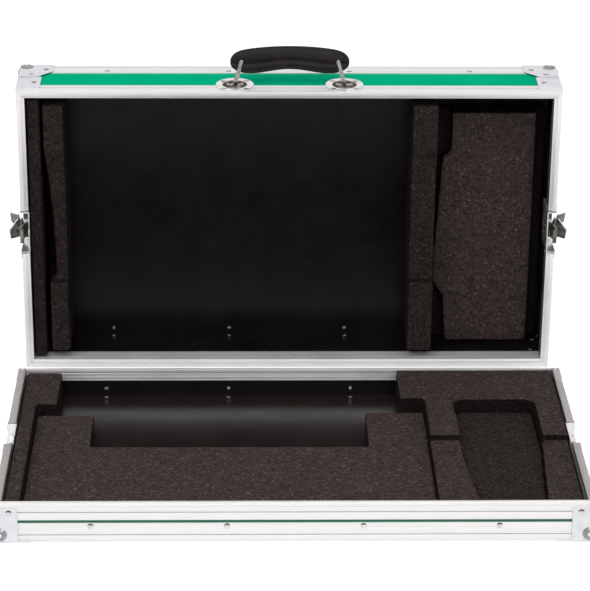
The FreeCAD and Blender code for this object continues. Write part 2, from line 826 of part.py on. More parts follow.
def hook(side):
    """The hook hangs on its pin: the pin's axis is the origin and the claw is below."""
    name = f"latch_hook_{side}_"
    half = "hook_width / 2"
    eye = rod(name + "eye", "x", "hook_eye", "hook_width", f"-({half})", "0", "0")
    plate = box(name + "plate", (f"-({half})", half), ("-hook_thick / 2", "hook_thick / 2"),
                ("-hook_reach", "0"))
    claw = box(name + "claw", (f"-({half})", half), ("0", "hook_thick / 2 + hook_claw"),
               ("-hook_reach", "hook_claw_thick - hook_reach"))
    bore = rod(name + "bore", "x", "hook_pin_radius + turn_gap", "2 * hook_width", "-hook_width", "0", "0")
    finished = cut(name + "body", fuse(name + "blank", [eye, plate, claw]), [bore])
    keep(finished, f"latch_hook_{side}", latch_frame("lid", side)
         + step("0", "hook_pin_in", "hook_pin_rise", "1; 0; 0", "-hook_open_angle"))


def spindle_frame(side):
    """Z points out along the spindle, X along the wings' pin."""
    sign = "" if side == "right" else "-"
    return (latch_frame("lid", side) + step(z="spindle_rise", angle=str(quarter))
            + step(axis="0; 0; 1", angle=f"{sign}wing_turn"))


def spindle(side):
    name = f"latch_spindle_{side}_"
    low = "spindle_gap - dish_depth"
    drum = rod(name + "drum", "z", "spindle_radius", f"spindle_out - ({low})", "0", "0", low)
    stub = rod(name + "stub", "z", "stub_radius", f"{low} + dish_depth + sheet + stub_end", "0", "0",
               "-(dish_depth + sheet + stub_end)")
    bore = rod(name + "bore", "x", "wing_pin_radius + turn_gap / 2", "4 * spindle_radius",
               "-2 * spindle_radius", "0", "wing_pin_out")
    finished = cut(name + "body", fuse(name + "blank", [drum, stub]), [bore])
    keep(finished, f"latch_spindle_{side}", spindle_frame(side))
    pin = part("Part::Cylinder", f"wing_pin_{side}_bar", Radius="wing_pin_radius", Height="wing_pin_length")
    keep(pin, f"wing_pin_{side}", spindle_frame(side)
         + step("-wing_pin_length / 2", "0", "wing_pin_out", "0; 1; 0", "90"))


def wing(side, end):
    """One wing: its pin's axis is the X axis and the plate lies along +Y."""
    label = f"latch_wing_{side}_{end}"
    half, tip = "wing_length / 2", "wing_tip_length / 2"
    outline = [(f"-{half}", "wing_root"), (half, "wing_root"), (half, "wing_shoulder"), (tip, "wing_reach"),
               (f"-{tip}", "wing_reach"), (f"-{half}", "wing_shoulder")]
    plate = slab(label + "_plate", "XY_Plane", outline, "0", "wing_thick", True)
    second = "knuckle_start + knuckle_length + knuckle_gap"
    pieces = [plate]
    for index, low in enumerate(("knuckle_start", f"-({second} + knuckle_length)")):
        pieces.append(rod(f"{label}_knuckle_{index}", "x", "knuckle_radius", "knuckle_length", low, "0", "0"))
        pieces.append(box(f"{label}_arm_{index}", (low, f"{low} + knuckle_length"), ("0", "wing_root + skin"),
                          ("-wing_thick / 2", "wing_thick / 2")))
    bore = rod(label + "_bore", "x", "wing_pin_radius + turn_gap", "wing_length", f"-({half})", "0", "0")
    notch = rod(label + "_notch", "z", "spindle_radius + wing_notch_gap", "2 * wing_reach", "0", "0", "-wing_reach")
    finished = cut(label + "_body", fuse(label + "_blank", pieces), [bore, notch])
    half_turn = "0" if end == "near" else str(2 * quarter)
    keep(finished, label, spindle_frame(side) + step(axis="0; 0; 1", angle=half_turn)
         + step(z="wing_pin_out", angle="wing_angle"))


for side in ("left", "right"):
    dish("base", side)
    dish("lid", side)
    hook_pin(side)
    hook(side)
    spindle(side)
    for end in ("near", "far"):
        wing(side, end)

# Carrying handle on the lid's front wall. Z points out of the wall, X runs along it.
handle_frame = "lid_shell" + step("0", "-half_y", "handle_centre", "1; 0; 0", str(quarter))

holes = [rod("handle_bowl_inside", "z", "handle_bowl_radius - sheet", "handle_bowl_depth + sheet + overrun",
             "handle_foot", "0", "-handle_bowl_depth")]
for across in both("handle_rivet_in"):
    for up in both("handle_rivet_in"):
        holes.append(rod("handle_dish_hole", "z", "hole", "sheet + 2 * overrun",
                         f"handle_foot + {across}", up, "-overrun"))
bowl = fuse("handle_dish_blank", [
    rod("handle_dish_flange", "z", "handle_dish_radius", "sheet", "handle_foot", "0", "0"),
    rod("handle_bowl", "z", "handle_bowl_radius", "handle_bowl_depth + 2 * sheet", "handle_foot", "0",
        "-(handle_bowl_depth + sheet)"),
])
keep(pair("handle_dish_pair", cut("handle_dish_cut", bowl, holes)), "handle_dishes", handle_frame)

posts = [box(f"handle_post_{index}", (f"handle_foot + {low}", f"handle_foot + {low} + post_thick"),
             ("-post_width / 2", "post_width / 2"), ("-handle_bowl_depth", "crossbar_out + crossbar_radius"))
         for index, low in enumerate(("post_in", "-(post_in + post_thick)"))]
crossbar = rod("handle_crossbar", "x", "crossbar_radius", "2 * post_in + post_thick",
               "handle_foot - post_in - post_thick / 2", "0", "crossbar_out")
keep(pair("handle_bracket_pair", fuse("handle_bracket", posts + [crossbar])), "handle_brackets", handle_frame)


def loop_solid(name, radius, band, thick):
    """The bent band of a handle loop, or the space inside it, from the crossbar up to the grip."""
    foot, top = "handle_foot", "handle_top"
    rise = "crossbar_out + loop_rise"
    outline = [(f"{foot} - {band}", "crossbar_out"), (f"{foot} + {band}", "crossbar_out"),
               (f"{top} + {band}", rise), (f"{top} - {band}", rise)]
    sides_of_loop = slab(name + "_sides", "XZ_Plane", outline, "0", f"2 * ({thick})", True)
    low = rod(name + "_foot", "x", thick, f"2 * ({band})", f"{foot} - {band}", "0", "crossbar_out")
    high = rod(name + "_top", "x", thick, f"2 * ({band})", f"{top} - {band}", "0", rise)
    return fuse(name, [sides_of_loop, low, high])


bend = "crossbar_radius + turn_gap"
loop = cut("handle_loop", loop_solid("loop_outer", f"{bend} + loop_thick", "loop_band / 2", f"{bend} + loop_thick"),
           [loop_solid("loop_inner", bend, "loop_band", bend)])
keep(pair("handle_loop_pair", loop), "handle_loops", handle_frame)

arch = [("grip_end_low_at", "grip_end_low"), ("grip_half_length", "grip_end_middle"),
        ("grip_half_length - grip_slope", "grip_end_middle + grip_swell"), ("handle_top", "grip_shoulder"),
        ("0", "grip_crown")]
belly = [("0", "grip_under"), ("grip_under_at", "(grip_foot + grip_under) / 2"), ("grip_foot_at", "grip_foot")]
right_side = belly[1:] + arch[:-1]
outline = [belly[0]] + right_side + [arch[-1]] + [(f"-({x})", z) for x, z in reversed(right_side)]
grip_side = slab("grip_side", "XZ_Plane", outline, "0", "2 * grip_half_thick", True)
flank = [("grip_edge_half", "grip_foot"), ("grip_slope_half", "grip_foot + grip_slope"),
         ("grip_half_thick", "grip_foot + grip_swell"), ("grip_half_thick", "grip_shoulder - grip_swell"),
         ("grip_edge_half", "grip_crown")]
section = flank + [(f"-{y}", z) for y, z in reversed(flank)]
grip_section = slab("grip_section", "YZ_Plane", section, "0", "4 * grip_half_length", True)
rounded = doc.addObject("Part::MultiCommon", "grip_rounded")
rounded.Shapes = [grip_side, grip_section]
# Each end of the grip has a channel for the loop in both flanks, round a core with a peg.
half_channel = "(loop_band / 2 + slot_gap)"
rise = "crossbar_out + loop_rise"
outline = [(f"handle_foot - {half_channel}", "crossbar_out"), (f"handle_foot + {half_channel}", "crossbar_out"),
           (f"handle_top + {half_channel}", rise), (f"handle_top - {half_channel}", rise)]
channel = fuse("grip_channel", [
    slab("grip_channel_sides", "XZ_Plane", outline, "0", "4 * grip_half_thick", True),
    box("grip_channel_top", (f"handle_top - {half_channel}", f"handle_top + {half_channel}"),
        ("-2 * grip_half_thick", "2 * grip_half_thick"), (rise, f"{rise} + {bend} + loop_thick + slot_gap")),
])
core = fuse("grip_core", [
    box("grip_tongue", (f"handle_top - {half_channel}", f"handle_foot + {half_channel}"),
        ("-crossbar_radius", "crossbar_radius"), ("0", rise)),
    rod("grip_peg", "x", "crossbar_radius", "2 * loop_band", "handle_top - loop_band", "0", rise),
])
keep(cut("grip_body", rounded, [pair("grip_slots", cut("grip_slot", channel, [core]))]), "handle_grip",
     handle_frame)

# Foam, cut to fit the gear and lying in the base and in the lid


def foam(label, frame, loops, low, high):
    body = doc.addObject("PartDesign::Body", label)
    pad(body, sketch_in(body, label + "_outline", "XY_Plane", low, loops), f"{high} - ({low})")
    keep(body, label, frame)
    return body


def from_left(inset):
    return f"({inset} - foam_x)"


def from_right(inset):
    return f"(foam_x - ({inset}))"


def from_front(inset):
    return f"({inset} - foam_y)"


def from_rear(inset):
    return f"(foam_y - ({inset}))"


def pedal_outline(inset):
    """The recess for a foot pedal, narrower towards the front, drawn smaller by the inset."""
    left, right = from_right(f"pedal_left - {inset}"), from_right(f"pedal_right + {inset}")
    rear, front = from_rear(f"pedal_rear + {inset}"), from_front(f"pedal_front + {inset}")
    return [(from_right(f"pedal_front_left - {inset}"), front), (from_right(f"pedal_front_right + {inset}"), front),
            (right, step_front), (right, f"{rear} - pedal_round"), (f"{right} - pedal_round", rear),
            (f"{left} + pedal_round", rear), (left, f"{rear} - pedal_round"),
            (from_right(f"pedal_waist_left - {inset}"), from_front("pedal_waist"))]


strip_right = from_left("strip_width")
block_right, block_front = from_left("left_block_width"), from_rear("left_block_front")
foam("foam_left", "base_frame", [[
    ("-foam_x", "-foam_y"), (strip_right, "-foam_y"), (strip_right, block_front), (block_right, block_front),
    (block_right, "foam_y"), ("-foam_x", "foam_y"),
]], "foam_floor", "foam_left_top")
bed_left, bed_right = f"{strip_right} + foam_cut_gap", from_right("bed_right")
unit_left, unit_right, unit_front = from_left("unit_left"), from_right("unit_right"), from_front("unit_front")
jack_right, jack_front = from_right("jack_right"), from_rear("jack_front")
foam("foam_bed", "base_frame", [[
    (bed_left, "-foam_y"), (bed_right, "-foam_y"), (bed_right, jack_front), (unit_right, jack_front),
    (unit_right, unit_front), (unit_left, unit_front), (unit_left, f"{block_front} - foam_cut_gap"),
    (bed_left, f"{block_front} - foam_cut_gap"),
]], "foam_floor", "foam_bed_top")
block_left, block_front = f"{bed_right} + foam_cut_gap", f"{jack_front} + foam_cut_gap"
step_front = from_front("foam_step_front")
block = foam("foam_pedal_frame", "base_frame", [[
    (block_left, "-foam_y"), ("foam_x", "-foam_y"), ("foam_x", "foam_y"), (jack_right, "foam_y"),
    (jack_right, block_front), (block_left, block_front),
], pedal_outline("0")], "foam_floor", "foam_block_top")
front_part = rectangle((f"{bed_right} - overrun", "half_x"), ("-half_y", step_front))
pocket(block, sketch_in(block, "foam_step", "XY_Plane", "foam_block_top + overrun", [front_part]),
       "foam_block_top + overrun - foam_step_top")
foam("foam_pedal_floor", "base_frame", [pedal_outline("foam_cut_gap")], "foam_floor", "foam_pedal_top")

outer_right = from_left("lid_strip_width")
foam("lid_foam_left_outer", "lid_shell", [rectangle(("-foam_x", outer_right), both(from_front("lid_outer_inset")))],
     "lid_strip_top", "foam_ceiling")
front_end, rear_end = both(from_front("lid_strip_inset"))
seam, inner_step = from_front("lid_seam"), from_rear("lid_inner_step")


def foam_strip(label, outline, right):
    """A strip in two lengths with a seam between; the longer one dips towards its middle."""
    strip = foam(label, "lid_shell", [outline], "lid_strip_top", "foam_ceiling")
    above = "lid_strip_top - overrun"
    dip_floor = "lid_strip_top + lid_strip_dip"
    seam_end = f"{seam} + lid_seam_width"
    dip = [(seam, above), (inner_step, above), (inner_step, dip_floor), (from_front("lid_dip_start"), dip_floor),
           (seam_end, "lid_strip_top"), (seam_end, "lid_strip_top + lid_seam_depth"),
           (seam, "lid_strip_top + lid_seam_depth")]
    pocket(strip, sketch_in(strip, label + "_dip", "YZ_Plane", f"{right} + overrun", [dip]), "case_length / 2")


inner_left, inner_right, inner_foot = (from_left(f"lid_inner_{name}") for name in ("left", "right", "foot"))
foam_strip("lid_foam_left_inner", [
    (inner_left, front_end), (inner_right, front_end), (inner_right, rear_end), (inner_foot, rear_end),
    (inner_foot, inner_step), (from_left("lid_inner_waist"), from_rear("lid_waist_at")),
    (from_left("lid_inner_bend"), from_front("lid_bend_at")), (inner_left, seam),
], inner_right)
middle_right = from_right("lid_middle_right")
foam_strip("lid_foam_middle", rectangle((from_right("lid_middle_left"), middle_right), (front_end, rear_end)),
           middle_right)
pad_left, pad_right, pad_waist = from_right("pad_left"), from_right("pad_right"), from_right("pad_waist")
pad_front, pad_rear = from_front("pad_front"), from_rear("pad_rear")
padded = foam("lid_foam_right", "lid_shell",
              [rectangle((f"{middle_right} + foam_cut_gap", "foam_x"), (pad_front, pad_rear))],
              "pad_base_top", "foam_ceiling")
raised = [(pad_left, pad_front), (pad_right, pad_front), (pad_right, pad_rear), (pad_left, pad_rear),
          (from_right("pad_foot"), from_rear("pad_foot_from")), (pad_waist, from_rear("pad_waist_to")),
          (pad_waist, from_rear("pad_waist_from")), (from_right("pad_step"), from_front("pad_step_to")),
          (pad_left, from_front("pad_step_from"))]
pad(padded, sketch_in(padded, "lid_foam_raised", "XY_Plane", "pad_top", [raised]), "pad_base_top - pad_top")

doc.recompute()

# Check every object, then write one file for each sub-part
for item in doc.Objects:
    if "Invalid" in item.State or "Error" in item.State:
        raise RuntimeError(f"{item.Name} did not build: {item.State}")
for item in nodes:
    if item.Shape.isNull() or not item.Shape.isValid():
        raise RuntimeError(f"{item.Label} has no sound shape")

os.makedirs("parts", exist_ok=True)
for item in nodes:
    item.Shape.exportStep(os.path.join("parts", item.Label + ".step"))
print(len(nodes), "sub-parts written")
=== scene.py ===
import bpy
import json
import math
from mathutils import Matrix, Vector

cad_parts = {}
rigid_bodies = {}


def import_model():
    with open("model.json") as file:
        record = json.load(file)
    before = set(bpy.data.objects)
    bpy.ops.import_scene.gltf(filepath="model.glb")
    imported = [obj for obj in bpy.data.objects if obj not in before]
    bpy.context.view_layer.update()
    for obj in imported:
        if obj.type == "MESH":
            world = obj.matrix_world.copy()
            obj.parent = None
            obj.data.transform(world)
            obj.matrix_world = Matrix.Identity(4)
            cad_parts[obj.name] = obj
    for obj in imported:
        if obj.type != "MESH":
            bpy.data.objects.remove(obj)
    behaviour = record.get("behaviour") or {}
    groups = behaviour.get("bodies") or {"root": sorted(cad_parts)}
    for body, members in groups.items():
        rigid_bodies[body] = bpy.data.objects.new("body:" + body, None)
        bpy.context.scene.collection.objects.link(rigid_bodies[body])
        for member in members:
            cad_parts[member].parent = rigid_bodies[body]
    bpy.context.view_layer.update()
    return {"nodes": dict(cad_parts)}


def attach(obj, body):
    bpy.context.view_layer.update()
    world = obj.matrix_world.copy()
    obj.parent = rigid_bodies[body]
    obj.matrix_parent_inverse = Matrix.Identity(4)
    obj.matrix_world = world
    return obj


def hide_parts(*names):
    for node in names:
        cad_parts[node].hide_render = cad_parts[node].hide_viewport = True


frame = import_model()
mm = 0.001

# the open lid's own frame: x right, y towards its rear wall, z from the rim to its closed face
lidPlace = {"lean": 2.24663, "back": 192.7574, "up": 196.7207}
lidFrame = (Matrix.Translation((0, lidPlace["back"] * mm, lidPlace["up"] * mm))
            @ Matrix.Rotation(math.radians(lidPlace["lean"] - 90), 4, "X"))
# the base's frame: origin on the table under the middle of the tray
basePlace = {"back": -102.1592}
baseFrame = Matrix.Translation((0, basePlace["back"] * mm, 0))
shellFrames = {"base": baseFrame, "lid": lidFrame}
# the grip's frame: x along it, z out of the lid's front wall
handlePlace = {"wall": 196, "fromRim": 25}
handleFrame = (lidFrame @ Matrix.Translation((0, -handlePlace["wall"] * mm, handlePlace["fromRim"] * mm))
               @ Matrix.Rotation(math.radians(90), 4, "X"))
sides = ("front", "rear", "left", "right")


# small helpers for modelling
def pickOnly(*objects):
    if bpy.context.object and bpy.context.object.mode != "OBJECT":
        bpy.ops.object.mode_set(mode="OBJECT")
    for other in bpy.context.view_layer.objects:
        other.select_set(False)
    for piece in objects:
        piece.select_set(True)
    bpy.context.view_layer.objects.active = objects[0]


def editAll(piece):
    pickOnly(piece)
    bpy.ops.object.mode_set(mode="EDIT")
    bpy.ops.mesh.select_all(action="SELECT")


def backToObject():
    bpy.ops.object.mode_set(mode="OBJECT")


def mendNormals():
    bpy.ops.mesh.select_all(action="SELECT")
    bpy.ops.mesh.normals_make_consistent(inside=False)
    backToObject()


def addModifier(piece, kind, **values):
    modifier = piece.modifiers.new(kind.title(), kind)
    for key, value in values.items():
        setattr(modifier, key, value)
    pickOnly(piece)
    bpy.ops.object.modifier_apply(modifier=modifier.name)


def smooth(piece, angle=35):
    pickOnly(piece)
    bpy.ops.object.shade_smooth_by_angle(angle=math.radians(angle))


def roundEdges(piece, width, segments=2, angle=30):
    addModifier(piece, "BEVEL", width=width * mm, segments=segments, limit_method="ANGLE",
                angle_limit=math.radians(angle))


# a node's mesh, with doubled points welded and flat faces merged
nodeCopy = {"weld": 0.000002, "flatWithin": 0.4}


def copyOfNode(node, name):
    source = frame["nodes"][node]
    piece = source.copy()
    piece.data = source.data.copy()
    piece.name = name
    piece.parent = None
    piece.matrix_world = Matrix.Identity(4)
    piece.modifiers.clear()
    bpy.context.scene.collection.objects.link(piece)
    pickOnly(piece)
    bpy.ops.mesh.customdata_custom_splitnormals_clear()
    bpy.ops.object.shade_flat()
    editAll(piece)
    bpy.ops.mesh.remove_doubles(threshold=nodeCopy["weld"])
    bpy.ops.mesh.dissolve_limited(angle_limit=math.radians(nodeCopy["flatWithin"]))
    backToObject()
    return piece


def moveMesh(piece, matrix):
    piece.data.transform(matrix)
    piece.data.update()


def joinAll(pieces, name):
    pickOnly(*pieces)
    if len(pieces) > 1:
        bpy.ops.object.join()
    joined = bpy.context.object
    joined.name = name
    return joined


finishOfNode = {}


def settle(piece, body, material=None, nodes=()):
    if material:
        piece.data.materials.clear()
        piece.data.materials.append(material)
    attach(piece, body)
    if nodes:
        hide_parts(*nodes)
    for node in nodes:
        finishOfNode[node] = piece.data.materials[0]
    return piece


# shared shader groups
def makeGroup(name, inputs, outputs):
    group = bpy.data.node_groups.new(name, "ShaderNodeTree")
    for label, kind, value in inputs:
        socket = group.interface.new_socket(label, in_out="INPUT", socket_type=kind)
        if value is not None:
            socket.default_value = value
    for label, kind in outputs:
        group.interface.new_socket(label, in_out="OUTPUT", socket_type=kind)
    return group, group.nodes.new("NodeGroupInput"), group.nodes.new("NodeGroupOutput")


def addMath(nodes, operation, second=None):
    node = nodes.new("ShaderNodeMath")
    node.operation = operation
    if second is not None:
        node.inputs[1].default_value = second
    return node


grainShape = {"detail": 4, "from": 0.3, "to": 0.7}


def grainGroup():
    group, start, end = makeGroup(
        "fineGrain",
        [("Vector", "NodeSocketVector", None), ("Stretch", "NodeSocketVector", (1, 1, 1)),
         ("Scale", "NodeSocketFloat", 100.0), ("Low", "NodeSocketFloat", 0.0),
         ("High", "NodeSocketFloat", 1.0)],
        [("Value", "NodeSocketFloat")])
    stretch = group.nodes.new("ShaderNodeVectorMath")
    stretch.operation = "MULTIPLY"
    noise = group.nodes.new("ShaderNodeTexNoise")
    noise.inputs["Detail"].default_value = grainShape["detail"]
    spread = group.nodes.new("ShaderNodeMapRange")
    spread.inputs["From Min"].default_value = grainShape["from"]
    spread.inputs["From Max"].default_value = grainShape["to"]
    link = group.links.new
    link(start.outputs["Vector"], stretch.inputs[0])
    link(start.outputs["Stretch"], stretch.inputs[1])
    link(stretch.outputs[0], noise.inputs["Vector"])
    link(start.outputs["Scale"], noise.inputs["Scale"])
    link(noise.outputs["Fac"], spread.inputs["Value"])
    link(start.outputs["Low"], spread.inputs["To Min"])
    link(start.outputs["High"], spread.inputs["To Max"])
    link(spread.outputs["Result"], end.inputs["Value"])
    return group


# open cells: three sizes added up, as (scale, weight), and rare bright specks
cellShape = {"layers": ((1.0, 0.5), (1.9, 0.2), (0.45, 0.3)), "shade": (0.10, 0.90),
             "speckScale": 0.8, "speck": (0.92, 1.0)}


def cellGroup():
    group, start, end = makeGroup(
        "openCells",
        [("Vector", "NodeSocketVector", None), ("Scale", "NodeSocketFloat", 500.0)],
        [("Shade", "NodeSocketFloat"), ("Height", "NodeSocketFloat"), ("Speck", "NodeSocketFloat")])
    link = group.links.new

    def cellsAt(factor):
        cells = group.nodes.new("ShaderNodeTexVoronoi")
        scale = addMath(group.nodes, "MULTIPLY", factor)
        link(start.outputs["Scale"], scale.inputs[0])
        link(scale.outputs[0], cells.inputs["Scale"])
        link(start.outputs["Vector"], cells.inputs["Vector"])
        channels = group.nodes.new("ShaderNodeSeparateColor")
        link(cells.outputs["Color"], channels.inputs[0])
        return cells, channels.outputs[0]

    def spread(value, limits):
        wider = group.nodes.new("ShaderNodeMapRange")
        wider.inputs["From Min"].default_value, wider.inputs["From Max"].default_value = limits
        link(value, wider.inputs["Value"])
        return wider.outputs["Result"]

    total = None
    for factor, weight in cellShape["layers"]:
        cells, shade = cellsAt(factor)
        addUp = addMath(group.nodes, "MULTIPLY_ADD", weight)
        link(shade, addUp.inputs[0])
        if total:
            link(total, addUp.inputs[2])
        else:
            link(cells.outputs["Distance"], end.inputs["Height"])
            addUp.inputs[2].default_value = 0
        total = addUp.outputs[0]
    link(spread(total, cellShape["shade"]), end.inputs["Shade"])
    rare = cellsAt(cellShape["speckScale"])[1]
    link(spread(rare, cellShape["speck"]), end.inputs["Speck"])
    return group


shared = {"grain": grainGroup(), "cells": cellGroup()}
print("shader groups ready")


# material helpers
def startMaterial(name):
    material = bpy.data.materials.new(name)
    material.use_nodes = True
    shader = material.node_tree.nodes["Principled BSDF"]
    coords = material.node_tree.nodes.new("ShaderNodeTexCoord")
    return material, shader, coords.outputs["Object"]


def addGrain(material, coords, scale, low=0, high=1, stretch=(1, 1, 1)):
    node = material.node_tree.nodes.new("ShaderNodeGroup")
    node.node_tree = shared["grain"]
    node.inputs["Scale"].default_value = scale
    node.inputs["Low"].default_value = low
    node.inputs["High"].default_value = high
    node.inputs["Stretch"].default_value = stretch
    material.node_tree.links.new(coords, node.inputs["Vector"])
    return node.outputs["Value"]


def blendColours(material, factor, first, second):
    mix = material.node_tree.nodes.new("ShaderNodeMix")
    mix.data_type = "RGBA"
    mix.inputs["A"].default_value = (*first, 1)
    mix.inputs["B"].default_value = (*second, 1)
    material.node_tree.links.new(factor, mix.inputs["Factor"])
    return mix.outputs["Result"]


def addBump(material, height, shader, bump):
    node = material.node_tree.nodes.new("ShaderNodeBump")
    node.inputs["Strength"].default_value, node.inputs["Distance"].default_value = bump
    material.node_tree.links.new(height, node.inputs["Height"])
    material.node_tree.links.new(node.outputs["Normal"], shader.inputs["Normal"])


# metals: fine streaks between two shades, with a little uneven dullness
# scales are those of the streaks and of the dull patches, bumps are (strength, distance)
metalBump = (0.12, 0.0002)
drawnScales = (30, 14)
drawnLook = {"dark": (0.79, 0.775, 0.77), "light": (0.86, 0.845, 0.84), "rough": (0.42, 0.58),
             "scales": drawnScales, "metallic": 0.6}
metalLooks = {
    "drawnAluminiumX": {**drawnLook, "stretch": (1, 40, 40)},
    "drawnAluminiumY": {**drawnLook, "stretch": (40, 1, 40)},
    "drawnAluminiumZ": {**drawnLook, "stretch": (40, 40, 1)},
    # the base's side rims: the same aluminium, darker as painted shade
    "sideShadeAluminium": {"dark": (0.38, 0.355, 0.35), "light": (0.48, 0.45, 0.445), "rough": (0.36, 0.5),
                      "scales": drawnScales, "metallic": 0.8, "stretch": (40, 1, 40)},
    "grooveShade": {"dark": (0.40, 0.385, 0.385), "light": (0.50, 0.485, 0.485), "rough": (0.5, 0.6),
                    "scales": drawnScales, "metallic": 0.8},
    "innerShade": {"dark": (0.045, 0.040, 0.038), "light": (0.075, 0.067, 0.063), "rough": (0.5, 0.6),
                   "scales": drawnScales, "metallic": 0.8},
    "zincSteel": {"dark": (0.66, 0.67, 0.70), "light": (0.74, 0.745, 0.77), "rough": (0.28, 0.40),
                  "scales": (90, 60), "metallic": 0.85},
    "ballShadeSteel": {"dark": (0.24, 0.24, 0.25), "light": (0.34, 0.34, 0.35), "rough": (0.12, 0.24),
                  "scales": (90, 60), "metallic": 1.0},
    "nickelPlate": {"dark": (0.70, 0.70, 0.70), "light": (0.82, 0.82, 0.82), "rough": (0.20, 0.34),
                    "scales": (160, 50), "metallic": 0.9},
    "bowlShadeSteel": {"dark": (0.24, 0.21, 0.185), "light": (0.44, 0.395, 0.36), "rough": (0.30, 0.44),
                  "scales": (160, 50), "metallic": 1.0},
    "loopSteel": {"dark": (0.20, 0.19, 0.18), "light": (0.38, 0.36, 0.345), "rough": (0.18, 0.32),
                  "scales": (160, 50), "metallic": 1.0},
    "latchSteel": {"dark": (0.030, 0.030, 0.024), "light": (0.26, 0.26, 0.235), "rough": (0.34, 0.52),
                   "scales": (130, 70), "metallic": 1.0},
    "rivetSteel": {"dark": (0.58, 0.57, 0.56), "light": (0.74, 0.73, 0.72), "rough": (0.26, 0.40),
                   "scales": (300, 90), "metallic": 0.9},
    "rivetShade": {"dark": (0.07, 0.06, 0.06), "light": (0.12, 0.105, 0.10), "rough": (0.26, 0.40),
                   "scales": (300, 90), "metallic": 1.0},
}


def metalMaterial(name, look):
    material, shader, coords = startMaterial(name)
    link = material.node_tree.links.new
    streakScale, patchScale = look["scales"]
    streak = addGrain(material, coords, streakScale, stretch=look.get("stretch", (1, 1, 1)))
    patch = addGrain(material, coords, patchScale, *look["rough"])
    link(blendColours(material, streak, look["dark"], look["light"]), shader.inputs["Base Color"])
    link(patch, shader.inputs["Roughness"])
    shader.inputs["Metallic"].default_value = look["metallic"]
    addBump(material, streak, shader, metalBump)
    return material


metals = {name: metalMaterial(name, look) for name, look in metalLooks.items()}

# laminates on the plywood: mottled, with a fine leather grain
laminateGrain = {"mottle": 18, "patch": 45, "leather": 900, "bump": (0.10, 0.0002)}
laminateLooks = {
    # the tray floor: black laminate, tinted lighter and browner as painted reflection of the foam
    "floorLaminate": {"dark": (0.009, 0.0064, 0.0056), "light": (0.015, 0.0108, 0.0096),
                      "rough": (0.20, 0.27), "shine": 0.42},
    "greenLaminate": {"dark": (0.001, 0.44, 0.225), "light": (0.002, 0.50, 0.265),
                      "rough": (0.4, 0.5), "shine": 0.0},
    # the base's walls: the same green, darker as painted shade under the rim
    "stripShadeLaminate": {"dark": (0.042, 0.160, 0.100), "light": (0.050, 0.190, 0.120),
                      "rough": (0.4, 0.5), "shine": 0.0},
    "blackLaminate": {"dark": (0.0045, 0.004, 0.0036), "light": (0.0085, 0.0075, 0.007),
                      "rough": (0.22, 0.32), "shine": 0.13},
}


def laminateMaterial(name, look):
    material, shader, coords = startMaterial(name)
    link = material.node_tree.links.new
    mottle = addGrain(material, coords, laminateGrain["mottle"])
    link(blendColours(material, mottle, look["dark"], look["light"]), shader.inputs["Base Color"])
    link(addGrain(material, coords, laminateGrain["patch"], *look["rough"]), shader.inputs["Roughness"])
    shader.inputs["Specular IOR Level"].default_value = look["shine"]
    addBump(material, addGrain(material, coords, laminateGrain["leather"]), shader, laminateGrain["bump"])
    return material


laminates = {name: laminateMaterial(name, look) for name, look in laminateLooks.items()}

plyLook = {"dark": (0.24, 0.14, 0.07), "light": (0.52, 0.36, 0.21), "layers": 60, "stretch": (1, 1, 14),
           "rough": 0.75, "bump": (0.3, 0.0004)}


def plyMaterial():
    v = plyLook
    material, shader, coords = startMaterial("plyEdge")
    link = material.node_tree.links.new
    layers = addGrain(material, coords, v["layers"], stretch=v["stretch"])
    link(blendColours(material, layers, v["dark"], v["light"]), shader.inputs["Base Color"])
    shader.inputs["Roughness"].default_value = v["rough"]
    addBump(material, layers, shader, v["bump"])
    return material


plyEdge = plyMaterial()

# foam: cells of uneven tone with a few brighter specks, and a darker copy as painted shade for side faces
foamLook = {"dark": (0.020, 0.0145, 0.0135), "light": (0.084, 0.062, 0.058), "speck": 1.6, "cellScale": 520,
            "rough": 0.95, "shine": 0.08, "bump": (0.8, 0.0008),
            "sideShadeDark": (0.003, 0.0023, 0.002), "cutLight": (0.016, 0.012, 0.011)}


def foamMaterial(name, dark, light):
    material, shader, coords = startMaterial(name)
    link = material.node_tree.links.new
    cells = material.node_tree.nodes.new("ShaderNodeGroup")
    cells.node_tree = shared["cells"]
    cells.inputs["Scale"].default_value = foamLook["cellScale"]
    link(coords, cells.inputs["Vector"])
    speckled = material.node_tree.nodes.new("ShaderNodeMix")
    speckled.data_type = "RGBA"
    speckled.inputs["B"].default_value = (*[level * foamLook["speck"] for level in light], 1)
    link(cells.outputs["Speck"], speckled.inputs["Factor"])
    link(blendColours(material, cells.outputs["Shade"], dark, light), speckled.inputs["A"])
    link(speckled.outputs["Result"], shader.inputs["Base Color"])
    shader.inputs["Roughness"].default_value = foamLook["rough"]
    shader.inputs["Specular IOR Level"].default_value = foamLook["shine"]
    addBump(material, cells.outputs["Height"], shader, foamLook["bump"])
    return material


cutFoam = foamMaterial("cutFoam", foamLook["sideShadeDark"], foamLook["cutLight"])


def foamTone(tone):
    dark, light = ([level * tone for level in foamLook[key]] for key in ("dark", "light"))
    return foamMaterial(f"foamTone{round(tone * 100)}", dark, light)


gripLook = {"dark": (0.006, 0.0048, 0.0042), "light": (0.014, 0.0112, 0.010), "mottle": 40,
            "patch": 90, "rough": (0.34, 0.52), "shine": 0.16, "leather": 1500, "bump": (0.25, 0.0003)}


def gripMaterial():
    v = gripLook
    material, shader, coords = startMaterial("gripPlastic")
    link = material.node_tree.links.new
    mottle = addGrain(material, coords, v["mottle"])
    link(blendColours(material, mottle, v["dark"], v["light"]), shader.inputs["Base Color"])
    link(addGrain(material, coords, v["patch"], *v["rough"]), shader.inputs["Roughness"])
    shader.inputs["Specular IOR Level"].default_value = v["shine"]
    addBump(material, addGrain(material, coords, v["leather"]), shader, v["bump"])
    return material


gripPlastic = gripMaterial()
print("materials ready")
